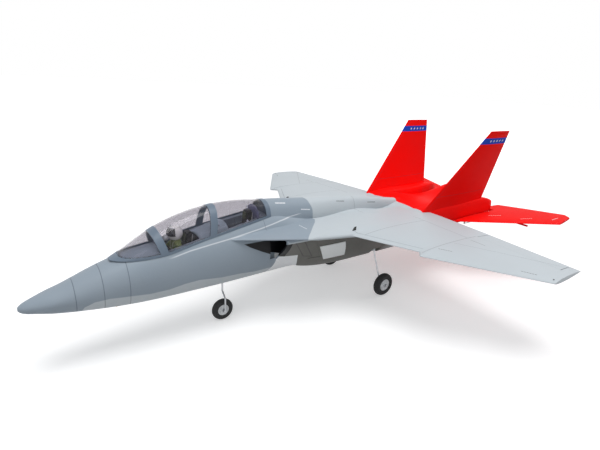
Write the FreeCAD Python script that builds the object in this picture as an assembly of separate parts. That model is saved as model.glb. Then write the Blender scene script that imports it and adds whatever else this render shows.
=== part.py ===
"""Radio-controlled jet trainer with twin canted fins: foam airframe, ducted fan, wire undercarriage.

Millimetres. X runs to the port wing, Y runs aft, Z up. The origin is on the ground under the middle
of the airframe. Places along the fuselage are stations, measured aft from the tip of the nose.
"""
import FreeCAD, Part
import math
import os

# ---------------------------------------------------------------- driving dimensions
LENGTH = 1054.0            # nose tip to the trailing tip of the stabilators
SPAN = 740.0
HEIGHT = 321.0             # ground to the tips of the fins

NOSE_SEAM = 30.0           # stations of the joints between the foam mouldings
FORWARD_SEAM = 290.0
REAR_SEAM = 688.0
TAIL_END = 950.0           # end of the rear moulding, where the nozzle ring seats

THRUST_Z = 120.0           # height of the fan's axis
FAN_BORE = 32.0            # radius inside the fan housing
FAN_WALL = 1.6
FAN_START = 600.0
FAN_LENGTH = 50.0
FAN_TIP_GAP = 0.5
FAN_BLADES = 11
STATOR_VANES = 5
HUB_RADIUS = 13.0
MOTOR_RADIUS = 11.0
MOTOR_LENGTH = 34.0
SHAFT_RADIUS = 1.6
TUBE_END_RADIUS = 27.0     # outside radius of the exhaust tube at the nozzle
TUBE_WALL = 1.0
NOZZLE_LENGTH = 18.0
NOZZLE_RADIUS = 36.5

WING_ROOT_X = 78.0         # plane of the joint between wing and fuselage
WING_Z = 158.5             # height of the chord plane at that joint
ANHEDRAL = 0.0305          # drop of the chord plane per mm of span
SPAR_STATION = 584.0
SPAR_HALF = 150.0
SPAR_RADIUS = 3.0
AILERON_IN = 215.0
AILERON_OUT = 355.0
AILERON_HINGE = 668.0
AILERON_NOSE = 3.6         # radius of the aileron's leading edge
HINGE_GAP = 0.5
AILERON_END_GAP = 1.0
AILERON_LINK_X = 226.0
AILERON_SERVO = 598.0      # station of the aileron servo's shaft

FIN_X = 81.0
FIN_BASE_Z = 166.0
FIN_TIP_X = 108.0
FIN_ROOT_LE = 690.0
FIN_ROOT_TE = 892.0
FIN_TIP_LE = 831.0
FIN_TIP_TE = 902.0
FIN_THICK = 11.0

STAB_ROOT_X = 93.0
STAB_PIVOT = 905.0
STAB_Z = 131.0
STAB_RISE = 0.066          # dihedral, rise per mm of span
STAB_THICK = 9.0
STAB_ROD_RADIUS = 2.0
STAB_ROD_OUT = 190.0
STAB_LINK_X = 80.0
STAB_SERVO = 845.0
BUSH_RADIUS = 4.0

SERVO_LENGTH = 22.0
SERVO_THICK = 8.4
SERVO_DEPTH = 19.0
SERVO_LEAD = 6.0           # from the servo's end to its shaft
ARM_THICK = 1.5
ARM_SHAFT = 1.6
AILERON_ARM = 12.0
STAB_ARM = 18.0
STEER_ARM = 12.0
WIRE = 0.8                 # radius of the pushrod wire
PLAY = 0.05                # radial clearance of every running fit

NOSE_GEAR = 284.0
NOSE_WHEEL = 38.0
NOSE_TYRE_WIDTH = 12.0
MAIN_GEAR = 595.0
MAIN_TRACK = 162.0
MAIN_WHEEL = 46.0
MAIN_TYRE_WIDTH = 14.0
LEG_RADIUS = 1.5
STEER_SERVO = 330.0

BAY_HALF = 21.0            # battery bay
BAY_START = 108.0
BAY_END = 352.0
BAY_FLOOR = 84.0
BAY_TOP = 116.0
STEER_Z = BAY_FLOOR + SERVO_DEPTH + 1.0   # plane of the steering arms, above the servo on the bay floor
BATTERY = (34.0, 106.0, 26.0)
BATTERY_START = 160.0
TRAY_THICK = 2.0

CANOPY_START = 112.0
CANOPY_END = 361.0
GLASS = 1.2
FRAME_DEPTH = 2.2
FRAME_PROUD = 0.5
RAIL_HEIGHT = 4.0
HATCH_GAP = 0.4
TUB_FLOOR = 124.0
TUB_WALL = 1.5

PORT, STARBOARD = 1, -1
SIDES = (("left", PORT), ("right", STARBOARD))


# ---------------------------------------------------------------- small tools
def at(x, station, z):
    return FreeCAD.Vector(x, station - LENGTH / 2, z)


def vec(x, y, z):
    return FreeCAD.Vector(x, y, z)


def fuse(shapes):
    shapes = list(shapes)
    return shapes[0] if len(shapes) == 1 else shapes[0].multiFuse(shapes[1:]).removeSplitter()


def box(x0, x1, s0, s1, z0, z1):
    return Part.makeBox(x1 - x0, s1 - s0, z1 - z0, at(x0, s0, z0))


def rod(start, end, radius):
    return Part.makeCylinder(radius, (end - start).Length, start, end - start)


def bent_wire(points, radius):
    """Round wire along straight runs with mitred corners."""
    run = (points[1] - points[0]).normalize()
    section = Part.Wire(Part.makeCircle(radius, points[0], run))
    return Part.Wire(Part.makePolygon(points)).makePipeShell([section], True, False, 1)


def polygon(points):
    return Part.Wire(Part.makePolygon(list(points) + [points[0]]))


def prism_across(outline, x0, x1):
    """A side-view outline of (station, z) points, run across from x0 to x1."""
    face = Part.Face(polygon([at(x0, s, z) for s, z in outline]))
    return face.extrude(vec(x1 - x0, 0, 0))


def prism_up(outline, z0, z1):
    """A plan outline of (x, station) points, run up from z0 to z1."""
    face = Part.Face(polygon([at(x, s, z0) for x, s in outline]))
    return face.extrude(vec(0, 0, z1 - z0))


def mirrored(shape):
    return shape.mirror(vec(0, 0, 0), vec(1, 0, 0))


def for_side(shape, side):
    return shape if side == PORT else mirrored(shape)


def smooth_ring(points):
    """Closed curve; the even spacing of its parameters lets a loft share them from ring to ring."""
    curve = Part.BSplineCurve()
    count = len(points)
    curve.interpolate(Points=points, PeriodicFlag=True, Parameters=[i / count for i in range(count + 1)])
    return Part.Wire([curve.toShape()])


def smooth_arc(points):
    curve = Part.BSplineCurve()
    last = len(points) - 1
    curve.interpolate(Points=points, Parameters=[i / last for i in range(last + 1)])
    return curve.toShape()


def loft(wires, ruled=False):
    return Part.makeLoft(wires, True, ruled)


def power(value, exponent):
    return math.copysign(abs(value) ** exponent, value)


def oval(station, half, low, mid, high, up=2.2, down=2.3, centre=0.0, count=10):
    """Rounded section: widest at height mid, with its own fullness above and below it."""
    points = []
    for i in range(count):
        turn = 2 * math.pi * i / count
        fullness = up if math.sin(turn) >= 0 else down
        rise = (high - mid) if math.sin(turn) >= 0 else (mid - low)
        points.append(at(centre + half * power(math.cos(turn), 2 / fullness), station,
                         mid + rise * power(math.sin(turn), 2 / fullness)))
    return smooth_ring(points)


# ---------------------------------------------------------------- fuselage form
# station, half width, bottom, widest at, top, fullness above, fullness below
HULL = [
    (0.0, 2.4, 101.4, 103.6, 105.9, 2.0, 2.0),
    (4.0, 6.4, 97.8, 103.5, 109.4, 2.0, 2.0),
    (14.0, 11.6, 94.6, 104.0, 113.8, 2.0, 2.0),
    (NOSE_SEAM, 18.0, 91.4, 105.5, 119.0, 2.1, 2.1),
    (68.0, 26.0, 85.0, 109.0, 132.0, 2.1, 2.2),
    (103.0, 31.8, 81.2, 113.0, 144.5, 2.2, 2.3),
    (137.0, 35.6, 78.8, 117.0, 154.5, 2.2, 2.4),
    (185.0, 39.0, 77.2, 118.0, 167.0, 2.2, 2.4),
    (256.0, 42.0, 77.0, 122.0, 177.0, 2.2, 2.4),
    (300.0, 43.0, 77.2, 124.0, 183.4, 2.2, 2.4),
    (361.0, 44.0, 78.5, 126.0, 190.0, 2.2, 2.4),
    (430.0, 46.0, 79.8, 128.0, 173.0, 2.3, 2.5),
    (500.0, 52.0, 80.6, 130.0, 166.0, 2.6, 2.6),
    (580.0, 64.0, 81.2, 130.0, 165.0, 3.0, 2.7),
    (REAR_SEAM, 78.0, 82.4, 130.0, 164.5, 3.2, 2.7),
    (760.0, 76.0, 83.0, 128.0, 164.0, 3.0, 2.6),
    (840.0, 60.0, 82.5, 124.0, 160.0, 2.6, 2.4),
    (TAIL_END, NOZZLE_RADIUS, THRUST_Z - NOZZLE_RADIUS, THRUST_Z, THRUST_Z + NOZZLE_RADIUS, 2.0, 2.0),
]

# dorsal spine: station, half width, top
SPINE = [
    (361.0, 26.5, 206.0), (400.0, 25.5, 203.0), (450.0, 23.0, 198.5), (520.0, 17.5, 193.0),
    (583.0, 13.0, 186.0), (640.0, 10.5, 177.5), (700.0, 9.0, 168.5), (740.0, 8.0, 162.0),
]
SPINE_LOW = 150.0
SPINE_MID = 160.0

# intake trunk, port side: station, then (x, z) of six points of the section from the inner top round
TRUNK = [
    (362.0, ((34, 157), (55, 157), (74, 154), (63, 134), (50, 121), (34, 114))),
    (420.0, ((34, 158), (56, 158), (76, 153), (67, 127), (54, 104), (34, 93))),
    (520.0, ((34, 158), (56, 158), (76, 153), (70, 122), (57, 97), (34, 85))),
    (620.0, ((34, 158), (56, 158), (76, 153), (71, 122), (57, 96), (34, 85))),
    (REAR_SEAM + 12, ((34, 158), (56, 158), (76, 153), (72, 124), (56, 97), (34, 87))),
]
DUCT_WALL = 3.5

# boom under each fin: station, centre x, half width, bottom, top
BOOM = [
    (REAR_SEAM - 26, 58.0, 12.0, 132.0, 159.0),
    (722.0, 70.0, 18.5, 122.0, 166.5),
    (790.0, 72.0, 18.5, 118.0, 167.5),
    (860.0, 74.5, 16.5, 119.0, 167.5),
    (905.0, 78.0, 12.5, 122.0, 166.0),
    (932.0, 80.5, 6.5, 131.0, 158.0),
]
BOOM_FULLNESS = 3.0


def hull():
    return loft([oval(s, w, low, mid, high, up, down) for s, w, low, mid, high, up, down in HULL])


def spine():
    return loft([oval(s, w, SPINE_LOW, SPINE_MID, top, 2.2, 2.0) for s, w, top in SPINE])


def trunk_ring(station, points, grow=0.0):
    cx = sum(x for x, z in points) / len(points)
    cz = sum(z for x, z in points) / len(points)
    ring = []
    for x, z in points:
        reach = math.hypot(x - cx, z - cz)
        ring.append(at(x + (x - cx) / reach * grow, station, z + (z - cz) / reach * grow))
    return smooth_ring(ring)


def trunk(grow=0.0):
    return loft([trunk_ring(s, points, grow) for s, points in TRUNK])


def boom():
    return loft([oval(s, w, low, (low + high) / 2, high, BOOM_FULLNESS, BOOM_FULLNESS, cx)
                 for s, cx, w, low, high in BOOM])


def half_thickness(u, thick):
    """Half the thickness of a lifting surface at the share u of its chord."""
    edge = 0.4
    return thick / 2 * math.sin(math.pi * u ** 0.7) ** 0.75 + edge * u if u < 1 else edge


CHORD_SHARES = (0.0, 0.012, 0.05, 0.14, 0.32, 0.55, 0.78, 1.0)


def foil(place, le, te, thick):
    """Closed section; place(station, offset) puts a point at a station, offset from the chord plane."""
    def side(sign):
        return [place(le + (te - le) * u, sign * half_thickness(u, thick)) for u in CHORD_SHARES]
    upper, lower = side(1), side(-1)
    return Part.Wire([smooth_arc(upper), Part.makeLine(upper[-1], lower[-1]),
                      smooth_arc(list(reversed(lower)))])


def wing_z(x):
    return WING_Z - (x - WING_ROOT_X) * ANHEDRAL


def flat_foil(x, z, le, te, thick):
    return foil(lambda s, off: at(x, s, z + off), le, te, thick)


# x, leading edge, trailing edge, thickness; the leading-edge extension, then the wing and its dog-tooth
STRAKE = [(30.0, 271.0, 705.0, 18.0), (42.0, 296.0, 705.0, 18.0), (WING_ROOT_X, 371.0, 705.5, 17.0)]
WING = [
    (WING_ROOT_X, 371.0, 705.5, 17.0), (91.0, 398.0, 706.2, 16.5), (108.5, 470.5, 707.0, 15.5),
    (205.0, 523.0, 706.0, 12.5), (216.0, 510.0, 705.3, 12.2), (SPAN / 2, 614.0, 698.0, 6.5),
]


def strake():
    return loft([flat_foil(x, WING_Z, le, te, t) for x, le, te, t in STRAKE], ruled=True)


def wing_form():
    return loft([flat_foil(x, wing_z(x), le, te, t) for x, le, te, t in WING], ruled=True)


def port_form():
    """Port half of the outer form, from nose to nozzle."""
    form = hull().fuse(spine()).common(box(0, SPAN, -1, LENGTH, 0, HEIGHT))
    for part in (trunk(), strake(), boom()):
        form = form.fuse(part)
    return form


# ---------------------------------------------------------------- canopy line
# station, half width at the rail, height of the rail
RAIL = [
    (CANOPY_START, 5.0, 149.6), (133.0, 20.5, 149.0), (160.0, 27.5, 149.2), (185.0, 30.4, 151.0),
    (216.0, 29.8, 157.0), (256.0, 28.6, 165.0), (300.0, 27.4, 172.0), (CANOPY_END, 24.0, 182.0),
]
# station, height of the top of the canopy
CANOPY_TOP = [
    (CANOPY_START, 150.4), (133.0, 159.0), (160.0, 176.4), (185.0, 189.4), (216.0, 200.6),
    (256.0, 208.4), (300.0, 211.0), (CANOPY_END, 206.0),
]
CANOPY_STEP = 30.0         # spacing of the sections that the canopy is lofted through
CANOPY_SINK = 5.0          # the canopy's form runs this far under the rail, then is trimmed to it


def eased(table, step):
    """The rows of a table with more between them, on a smooth curve through all of them."""
    rows = []
    last = len(table) - 1
    for i, (low, high) in enumerate(zip(table, table[1:])):
        before, after = table[max(i - 1, 0)], table[min(i + 2, last)]
        length = high[0] - low[0]
        count = max(1, round(length / step))
        for k in range(count):
            t = k / count
            row = [low[0] + length * t]
            for c in range(1, len(low)):
                slope_low = (high[c] - before[c]) / (high[0] - before[0]) * length
                slope_high = (after[c] - low[c]) / (after[0] - low[0]) * length
                row.append((2 * t ** 3 - 3 * t ** 2 + 1) * low[c] + (t ** 3 - 2 * t ** 2 + t) * slope_low
                           + (3 * t ** 2 - 2 * t ** 3) * high[c] + (t ** 3 - t ** 2) * slope_high)
            rows.append(tuple(row))
    return rows + [table[-1]]


CANOPY = eased([(s, w, rail, top) for (s, w, rail), (_, top) in zip(RAIL, CANOPY_TOP)], CANOPY_STEP)
RAIL_LINE = [(s, rail) for s, w, rail, top in CANOPY]


def above_rail(lift, x=60.0, top=260.0):
    line = [(s, z + lift) for s, z in RAIL_LINE]
    outline = [(line[0][0], line[0][1])] + line[1:] + [(line[-1][0], top), (line[0][0], top)]
    return prism_across(outline, -x, x)


def canopy_form(inset):
    wires = []
    for s, w, rail, top in CANOPY:
        half = max(w - inset, 2.0)
        peak = max(top - inset, rail + 0.4)
        base = rail - CANOPY_SINK
        fullness = 2.15
        arc = []
        for i in range(7):
            turn = math.pi * i / 6
            arc.append(at(half * power(math.cos(turn), 2 / fullness), s,
                          rail + (peak - rail) * power(math.sin(turn), 2 / fullness)))
        start, end = at(half, s, base), at(-half, s, base)
        wires.append(Part.Wire([Part.makeLine(start, arc[0]), smooth_arc(arc),
                                Part.makeLine(arc[-1], end), Part.makeLine(end, start)]))
    return loft(wires)


TUB_PLAN = [(9.0, 140.0), (16.5, 160.0), (20.0, 192.0), (18.5, 300.0), (16.0, 345.0)]


def tub_plan(grow=0.0, end=0.0):
    port = [(x + grow, s - grow if i == 0 else s) for i, (x, s) in enumerate(TUB_PLAN)]
    port[-1] = (port[-1][0], port[-1][1] + grow + end)
    return port + [(-x, s) for x, s in reversed(port)]


# ---------------------------------------------------------------- foam mouldings
def slab(s0, s1):
    return box(-SPAN, SPAN, s0, s1, 0, HEIGHT)


def duct(side):
    """Air passage from one intake mouth to the full circle of the fan."""
    mouth_station, mouth = TRUNK[0]
    wires = [trunk_ring(mouth_station - 12, mouth, -DUCT_WALL), trunk_ring(mouth_station + 4, mouth, -DUCT_WALL)]
    for station, cx, cz, rx, rz in ((430.0, 50.0, 132.0, 16.0, 18.0), (510.0, 26.0, 124.0, 20.0, 24.0)):
        wires.append(six_ring(station, cx, cz, rx, rz))
    wires += [six_ring(s, 0.0, THRUST_Z, FAN_BORE, FAN_BORE) for s in (FAN_START - 18, FAN_START)]
    return for_side(loft(wires), side)


def six_ring(station, cx, cz, rx, rz):
    """Oval of six points, in the same order as the points of the trunk's section."""
    turns = (130, 90, 30, -20, -70, -130)
    return smooth_ring([at(cx + rx * math.cos(math.radians(t)), station, cz + rz * math.sin(math.radians(t)))
                        for t in turns])


def rear_bore():
    """Bore for the exhaust tube, from the fan to the nozzle."""
    cone = Part.makeCone(FAN_BORE + FAN_WALL, TUBE_END_RADIUS, TAIL_END - FAN_START - FAN_LENGTH,
                         at(0, FAN_START + FAN_LENGTH, THRUST_Z), vec(0, 1, 0))
    return cone


def hatch_opening():
    return prism_up(tub_plan(0.6, 2.0), BAY_TOP - 1, HEIGHT)


def battery_bay():
    return box(-BAY_HALF, BAY_HALF, BAY_START, BAY_END, BAY_FLOOR, BAY_TOP)


MAIN_BLOCK = (38.0, 54.0, 91.0, 103.0)      # inner x, outer x, bottom, top
MAIN_BLOCK_HALF = 12.0
MAIN_POCKET_SINK = 22.0     # the pocket for each block is open through the belly
NOSE_BLOCK = (9.0, 8.0, 16.0)               # half width, half length, height


def main_block_box(side, sink=0.0):
    x0, x1, z0, z1 = MAIN_BLOCK
    block = box(x0, x1, MAIN_GEAR - MAIN_BLOCK_HALF, MAIN_GEAR + MAIN_BLOCK_HALF, z0 - sink, z1)
    return for_side(block, side)


def hollows():
    """Everything that is hollowed out of the foam on the port side, with the stations it spans."""
    fan_end = FAN_START + FAN_LENGTH
    found = [battery_bay(), hatch_opening(), rear_bore(), duct(PORT), duct(STARBOARD)]
    found.append(Part.makeCylinder(FAN_BORE + FAN_WALL, fan_end - FAN_START, at(0, FAN_START, THRUST_Z), vec(0, 1, 0)))
    found.append(main_block_box(PORT, MAIN_POCKET_SINK))
    found.append(rod(at(0, NOSE_GEAR, 60), at(0, NOSE_GEAR, BAY_FLOOR + 1), 3.0))
    found.append(rod(at(-SPAR_HALF, SPAR_STATION, WING_Z - 1), at(SPAR_HALF, SPAR_STATION, WING_Z - 1),
                     SPAR_RADIUS))
    found.append(trunk_recess())
    return found + stabilator_pockets(PORT)


def port_moulding(form, start, end):
    """Port half of the foam between two stations, hollowed."""
    half = form.common(slab(start, end))
    low, high = start - LENGTH / 2, end - LENGTH / 2
    for cutter in hollows():
        if cutter.BoundBox.YMax > low and cutter.BoundBox.YMin < high:
            half = half.cut(cutter)
    return half


def whole(half):
    return half.fuse(mirrored(half))


# ---------------------------------------------------------------- servo linkages
class Linkage:
    """A servo arm, its pushrod and the horn that it drives, as a parallelogram.

    hinge is a point on the driven axis, axis its direction, throw the vector from that axis to the
    horn's pin, and reach the vector from the servo's shaft to the hinge.
    """
    def __init__(self, hinge, axis, throw, reach):
        self.hinge, self.axis, self.throw = hinge, vec(*axis).normalize(), throw
        self.reach = reach
        self.shaft = hinge - reach
        self.along = vec(reach.x, reach.y, reach.z).normalize()
        self.down = vec(throw.x, throw.y, throw.z).normalize()

    def place(self, a, b, c):
        """Point a along the axis, b along the pushrod and c along the throw, from the servo's shaft."""
        return self.shaft + self.axis * a + self.along * b + self.down * c

    def block(self, a, b, c):
        corners = [self.place(a[0], b[i], c[j]) for i, j in ((0, 0), (1, 0), (1, 1), (0, 1))]
        return Part.Face(polygon(corners)).extrude(self.axis * (a[1] - a[0]))

    def lever(self, root, root_radius, root_hole):
        """Flat lever from the root axis to its pin."""
        start = root
        pin = root + self.throw
        width = 2.0
        side = self.along * width
        plate = Part.Face(polygon([start + side, pin + side, pin - side, start - side]))
        plate = plate.extrude(self.axis * ARM_THICK)
        lever = fuse([plate, rod(start, start + self.axis * ARM_THICK, root_radius),
                      rod(pin, pin + self.axis * ARM_THICK, width)])
        lever = lever.cut(rod(pin - self.axis, pin + self.axis * (ARM_THICK + 1), WIRE + PLAY))
        if root_hole:
            lever = lever.cut(rod(start - self.axis, start + self.axis * (ARM_THICK + 1), root_hole))
        return lever

    def arm(self):
        stub = rod(self.shaft - self.axis * 3.0, self.shaft + self.axis * 0.5, ARM_SHAFT)
        return fuse([self.lever(self.shaft, 3.0, 0), stub])

    def servo(self):
        body = self.block((-SERVO_DEPTH - 1, -1.0), (SERVO_LEAD - SERVO_LENGTH, SERVO_LEAD),
                          (-SERVO_THICK / 2, SERVO_THICK / 2))
        boss = rod(self.shaft - self.axis * 1.5, self.shaft - self.axis * 0.15, 3.0)
        hole = rod(self.shaft - self.axis * 3.2, self.shaft, ARM_SHAFT + PLAY)
        return fuse([body, boss]).cut(hole)

    def pocket(self, open_to):
        body = self.block((-SERVO_DEPTH - 1, -1.0), (SERVO_LEAD - SERVO_LENGTH, SERVO_LEAD),
                          (-SERVO_THICK / 2, open_to))
        swing = 0.75 * self.throw.Length + 3.5
        slot = self.block((-1.0, 4.6), (-swing, swing), (-4.0, max(open_to, self.throw.Length + 4)))
        return [body, slot]

    def pushrod(self):
        offset = self.axis * (ARM_THICK + 0.3 + WIRE)
        low, high = self.shaft + self.throw, self.hinge + self.throw
        back = self.axis * -0.6
        return bent_wire([low + back, low + offset, high + offset, high + back], WIRE)


def aileron_link(side):
    hinge = at(side * AILERON_LINK_X, AILERON_HINGE, wing_z(AILERON_LINK_X))
    axis = (side, 0, -ANHEDRAL)
    throw = vec(-side * ANHEDRAL, 0, -1).normalize() * AILERON_ARM
    return Linkage(hinge, axis, throw, vec(0, AILERON_HINGE - AILERON_SERVO, 0))


def stabilator_link(side):
    hinge = at(side * STAB_LINK_X, STAB_PIVOT, STAB_Z)
    return Linkage(hinge, (side, 0, 0), vec(0, 0, -STAB_ARM), vec(0, STAB_PIVOT - STAB_SERVO, 0))


def steering_link():
    hinge = at(0, NOSE_GEAR, STEER_Z)
    return Linkage(hinge, (0, 0, 1), vec(STEER_ARM, 0, 0), vec(0, NOSE_GEAR - STEER_SERVO, 0))


def stabilator_pockets(side):
    link = stabilator_link(side)
    swing = 0.75 * STAB_ARM + 3.5
    far = STAB_PIVOT - STAB_SERVO
    horn_slot = link.block((-1.0, 4.6), (far - swing, far + swing), (-5.0, STAB_ARM + 5))
    z = STAB_Z
    bore = rod(at(side * 64.0, STAB_PIVOT, z), at(side * 96.0, STAB_PIVOT, z), STAB_ROD_RADIUS + 0.6)
    seats = [rod(at(side * x0, STAB_PIVOT, z), at(side * x1, STAB_PIVOT, z), BUSH_RADIUS)
             for x0, x1 in BUSHES]
    return link.pocket(30.0) + [horn_slot, bore] + seats


BUSHES = ((69.0, 73.0), (85.5, 89.0))


# ---------------------------------------------------------------- wings and tail
def aileron_axis_points():
    return (at(AILERON_IN, AILERON_HINGE, wing_z(AILERON_IN)),
            at(AILERON_OUT, AILERON_HINGE, wing_z(AILERON_OUT)))


def aileron_zone(radius, end_gap):
    a, b = aileron_axis_points()
    run = (b - a).normalize() * 5.0
    span = (AILERON_IN + end_gap, AILERON_OUT - end_gap)
    nose = rod(a - run, b + run, radius).common(box(*span, AILERON_HINGE - 10, AILERON_HINGE + 10, 100, 200))
    rear = box(*span, AILERON_HINGE, AILERON_HINGE + 60, 100, 200)
    return fuse([nose, rear])


def wing_panel():
    form = wing_form()
    panel = form.cut(aileron_zone(AILERON_NOSE + HINGE_GAP, 0.0))
    link = aileron_link(PORT)
    for cutter in link.pocket(12.0):
        panel = panel.cut(cutter)
    reach = link.reach.Length
    horn_notch = link.block((-1.0, ARM_THICK + 1.0), (reach - 9.0, reach), (0.5, 12.0))
    panel = panel.cut(horn_notch)
    panel = panel.cut(rod(at(0, SPAR_STATION, WING_Z - 1), at(SPAR_HALF, SPAR_STATION, WING_Z - 1), SPAR_RADIUS))
    return panel


def aileron_panel():
    return wing_form().common(aileron_zone(AILERON_NOSE, AILERON_END_GAP))


def fin_form():
    base = FIN_BASE_Z - 6.0

    def wire(z):
        share = (z - FIN_BASE_Z) / (HEIGHT - FIN_BASE_Z)
        x = FIN_X + (FIN_TIP_X - FIN_X) * share
        le = FIN_ROOT_LE + (FIN_TIP_LE - FIN_ROOT_LE) * share
        te = FIN_ROOT_TE + (FIN_TIP_TE - FIN_ROOT_TE) * share
        thick = FIN_THICK * (1 - 0.6 * share)
        return foil(lambda s, off: at(x + off, s, z), le, te, thick)
    return loft([wire(base), wire(HEIGHT)], ruled=True)


STAB_PLAN = [(STAB_ROOT_X, 780.0), (233.0, 951.0), (222.0, 1026.0), (199.0, LENGTH), (62.0, 1012.0),
             (62.0, 950.0), (STAB_ROOT_X, 938.0)]


def stab_z(x):
    return STAB_Z + (x - STAB_ROOT_X) * STAB_RISE


def stabilator_form():
    """Thin all-moving surface: a lofted section trimmed to its plan."""
    stations = [(58.0, 736.0, 1014.0, STAB_THICK), (236.0, 954.6, LENGTH + 6, 4.0)]
    form = loft([flat_foil(x, stab_z(x), le, te, t) for x, le, te, t in stations], ruled=True)
    return form.common(prism_up(STAB_PLAN, STAB_Z - 30, STAB_Z + 40))


# ---------------------------------------------------------------- canopy hatch
FRONT_BOW = ((163.0, 195.0), (175.0, 195.0), (192.0, 140.0), (180.0, 140.0))
MID_BOW = ((259.0, 222.0), (270.0, 222.0), (259.0, 150.0), (248.0, 150.0))
REAR_BOW_START = CANOPY_END - 9.0


def frame_zone():
    """Side-view region of the canopy that is frame and not glass."""
    low = [(s, z + HATCH_GAP) for s, z in RAIL_LINE]
    high = [(s, z + HATCH_GAP + RAIL_HEIGHT) for s, z in reversed(RAIL_LINE)]
    outlines = [low + high, FRONT_BOW, MID_BOW,
                [(REAR_BOW_START, 140.0), (REAR_BOW_START, 240.0), (CANOPY_END, 240.0), (CANOPY_END, 140.0)],
                [(CANOPY_START, 140.0), (CANOPY_START, 160.0), (CANOPY_START + 8, 160.0), (CANOPY_START + 8, 140.0)]]
    return fuse([prism_across(outline, -60, 60) for outline in outlines])


def canopy_parts():
    zone = frame_zone()
    room = above_rail(HATCH_GAP).common(slab(CANOPY_START, CANOPY_END - HATCH_GAP))
    inner = canopy_form(FRAME_DEPTH).common(slab(CANOPY_START + 7, CANOPY_END - HATCH_GAP - 2))
    frame = canopy_form(-FRAME_PROUD).cut(inner).common(room).common(zone)
    glass = canopy_form(0.0).cut(canopy_form(GLASS)).common(room).cut(zone)
    return frame, glass


def cockpit_tub(frame):
    outer = prism_up(tub_plan(), TUB_FLOOR, HEIGHT)
    inner = prism_up(tub_plan(-TUB_WALL), TUB_FLOOR + TUB_WALL, HEIGHT)
    inner = inner.common(slab(TUB_PLAN[0][1] + TUB_WALL, TUB_PLAN[-1][1] - TUB_WALL))
    walls = outer.cut(inner).cut(above_rail(HATCH_GAP + TUB_WALL, top=HEIGHT + 1))
    sill = canopy_form(FRAME_DEPTH).common(above_rail(HATCH_GAP)).cut(above_rail(HATCH_GAP + TUB_WALL))
    sill = sill.common(slab(CANOPY_START + 7, CANOPY_END - HATCH_GAP - 2)).cut(outer)
    return fuse([walls, sill]).cut(frame)


def seat(station, top, half=9.0):
    floor = TUB_FLOOR + TUB_WALL
    pan = box(-half, half, station, station + 20, floor, floor + 14)
    back = prism_across([(station + 14, floor), (station + 22, floor), (station + 28, top), (station + 21, top)],
                        -half, half)
    head = prism_across([(station + 17, top - 16), (station + 27, top - 16), (station + 28, top + 2),
                         (station + 20, top + 2)], -half * 0.62, half * 0.62)
    ears = [box(side * half - 1.2, side * half + 1.2, station + 2, station + 20, floor, floor + 20)
            for side in (PORT, STARBOARD)]
    return fuse([pan, back, head] + ears)


def hood(station, length, base, top, half):
    outline = [(station, base), (station + length, base), (station + length, top - 5),
               (station + length - 4, top), (station + length * 0.5, top - 1)]
    form = prism_across(outline, -half, half)
    edges = [e for e in form.Edges if abs(e.tangentAt(e.FirstParameter).x) < 0.1 and e.CenterOfMass.z > base + 2]
    return form.makeFillet(2.0, [e for e in edges if e.Length > 6])


def pilot():
    floor = TUB_FLOOR + TUB_WALL
    seat_top = floor + 14.0
    s = 208.0
    rings = []
    for z, half, deep in ((seat_top, 7.2, 7.0), (seat_top + 8, 7.4, 7.5), (seat_top + 16, 12.0, 7.0),
                          (seat_top + 21, 9.5, 6.0), (seat_top + 24, 4.5, 4.5)):
        rings.append(smooth_ring([at(half * power(math.cos(t), 0.8), s + deep * power(math.sin(t), 0.8), z)
                                  for t in [2 * math.pi * i / 8 for i in range(8)]]))
    torso = loft(rings)
    helmet = Part.makeSphere(11.5, at(0, s - 1, 172.0))
    helmet = helmet.cut(box(-20, 20, s - 20, s + 20, 150, seat_top + 24))
    return torso, helmet


# ---------------------------------------------------------------- power unit
def along(station):
    return at(0, station, THRUST_Z)


def tube(start, length, outer, inner):
    body = Part.makeCylinder(outer, length, along(start), vec(0, 1, 0))
    return body.cut(Part.makeCylinder(inner, length + 2, along(start - 1), vec(0, 1, 0)))


VANE_START = FAN_START + 24.0
VANE_LENGTH = 20.0
CUP_WALL = 1.4
ROTOR_START = FAN_START + 4.0
ROTOR_LENGTH = 16.0
ROTOR_HUB = 14.0


def fan_housing():
    ring = tube(FAN_START, FAN_LENGTH, FAN_BORE + FAN_WALL, FAN_BORE)
    cup = tube(VANE_START, VANE_LENGTH, MOTOR_RADIUS + CUP_WALL, MOTOR_RADIUS)
    vanes = []
    for i in range(STATOR_VANES):
        vane = box(MOTOR_RADIUS + CUP_WALL - 0.4, FAN_BORE + FAN_WALL / 2, VANE_START, VANE_START + VANE_LENGTH,
                   THRUST_Z - 0.8, THRUST_Z + 0.8)
        vane.rotate(along(0), vec(0, 1, 0), 360.0 * i / STATOR_VANES + 90)
        vanes.append(vane)
    return fuse([ring, cup] + vanes)


def fan_blade():
    """Twisted blade from inside the hub to the tip, leaning more the further out it is."""
    wires = []
    for reach, chord, pitch in ((ROTOR_HUB - 1.0, 15.0, 42.0), (22.0, 13.5, 56.0), (FAN_BORE - FAN_TIP_GAP, 12.0, 66.0)):
        lean = math.radians(pitch)
        mid = ROTOR_START + ROTOR_LENGTH / 2
        dx, ds = math.sin(lean) * chord / 2, math.cos(lean) * chord / 2
        nx, ns = math.cos(lean) * 0.5, -math.sin(lean) * 0.5
        corners = [(-dx - nx, -ds - ns), (dx - nx, ds - ns), (dx + nx, ds + ns), (-dx + nx, -ds + ns)]
        wires.append(polygon([at(x, mid + s, THRUST_Z + reach) for x, s in corners]))
    blade = loft(wires, ruled=True)
    return blade.common(Part.makeCylinder(FAN_BORE - FAN_TIP_GAP, 60, along(FAN_START - 20), vec(0, 1, 0)))


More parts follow.
